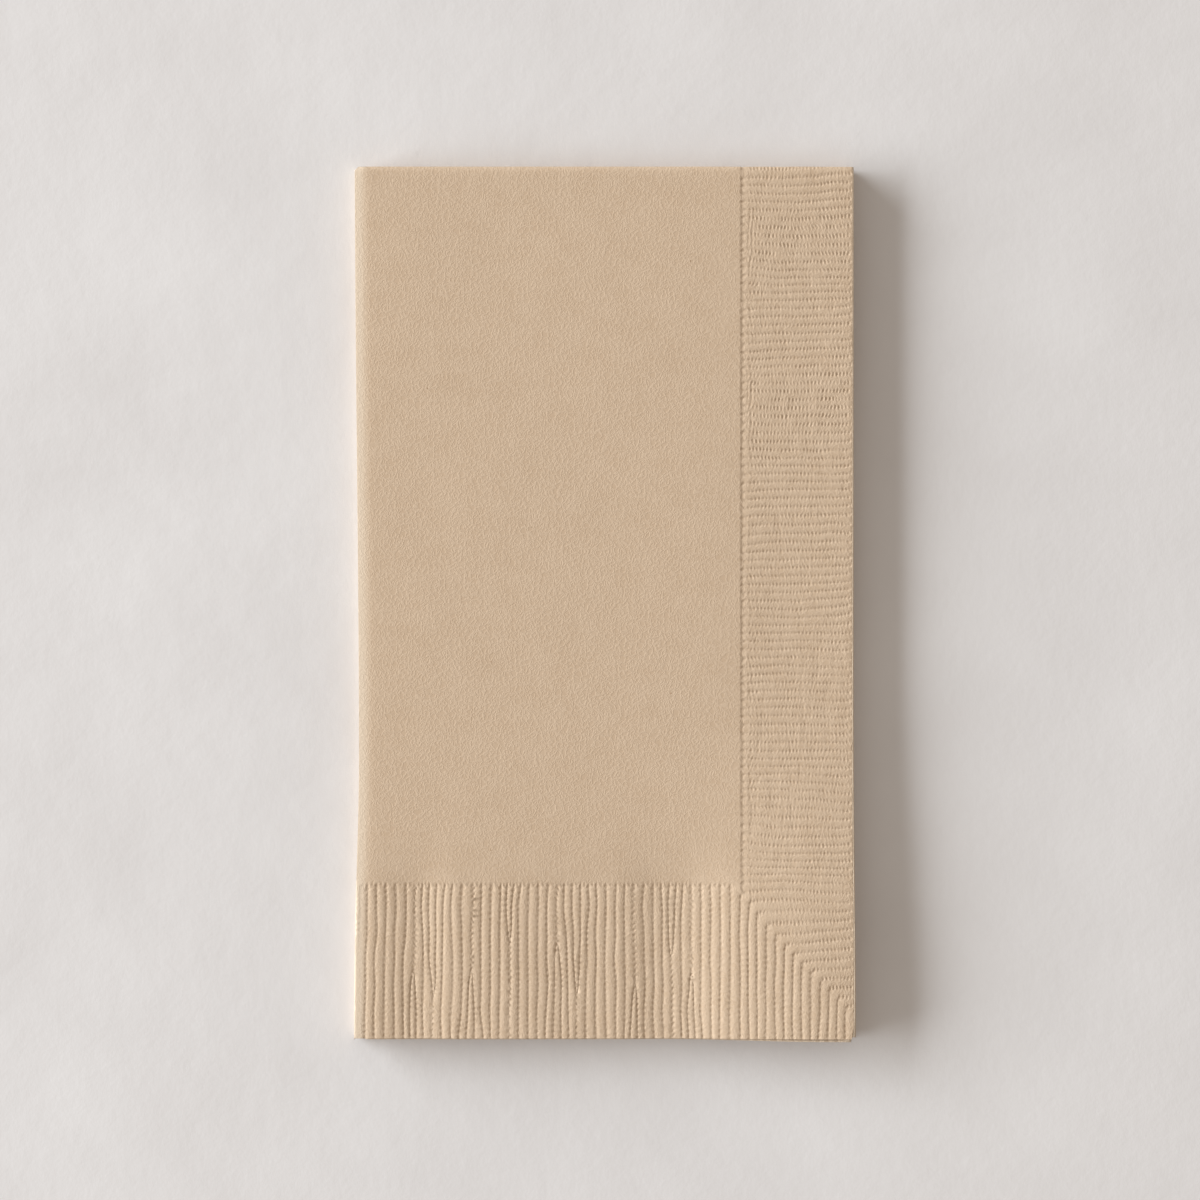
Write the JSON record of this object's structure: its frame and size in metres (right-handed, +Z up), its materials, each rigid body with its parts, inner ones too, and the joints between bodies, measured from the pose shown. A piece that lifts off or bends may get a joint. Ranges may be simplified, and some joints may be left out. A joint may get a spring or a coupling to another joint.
{
  "type": "paper guest towel",
  "caption": "Rectangular paper hand towel folded in thirds and then in half, with a plain field and a ribbed border along its cut side and cut ends.",
  "frame": {"origin": "middle of the footprint, on the surface that the towel lies on", "axes": "+X towards the cut side, -X towards the side fold, +Y towards the end fold, +Z up"},
  "size_m": [0.1124, 0.197, 0.0054],
  "materials": {
    "tissue": "matt soft tissue dyed tan, with fine worm-like fibres and an embossed border"
  },
  "bodies": {
    "root": {"towel": "tissue"}
  },
  "joints": []
}
